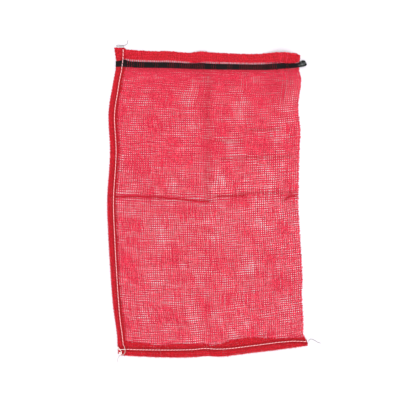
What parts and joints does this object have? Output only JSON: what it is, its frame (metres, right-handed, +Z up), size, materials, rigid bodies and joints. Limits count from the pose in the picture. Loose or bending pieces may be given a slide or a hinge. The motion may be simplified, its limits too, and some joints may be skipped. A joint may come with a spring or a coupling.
{
  "type": "onion mesh bag",
  "caption": "Empty open-weave net bag for onions, lying flat, with a hemmed mouth, a draw tape with a pull loop, and sewn side and bottom seams.",
  "frame": {"origin": "on the surface that the bag lies on, under the middle of the bag", "axes": "+Y towards the mouth, +X towards the folded side, +Z up out of the front layer"},
  "size_m": [0.5613, 0.8461, 0.0153],
  "materials": {
    "red_net": "woven red plastic yarn, satin",
    "black_tape": "black plastic tape, glossy",
    "white_thread": "spun white sewing thread"
  },
  "bodies": {
    "root": {"net_bag": "red_net", "draw_tape": "black_tape", "side_seam_thread": "white_thread", "bottom_seam_thread": "white_thread", "side_thread_top_tail": "white_thread", "side_thread_corner_tail": "white_thread", "bottom_thread_corner_tail": "white_thread", "bottom_thread_fold_tail": "white_thread"}
  },
  "joints": []
}
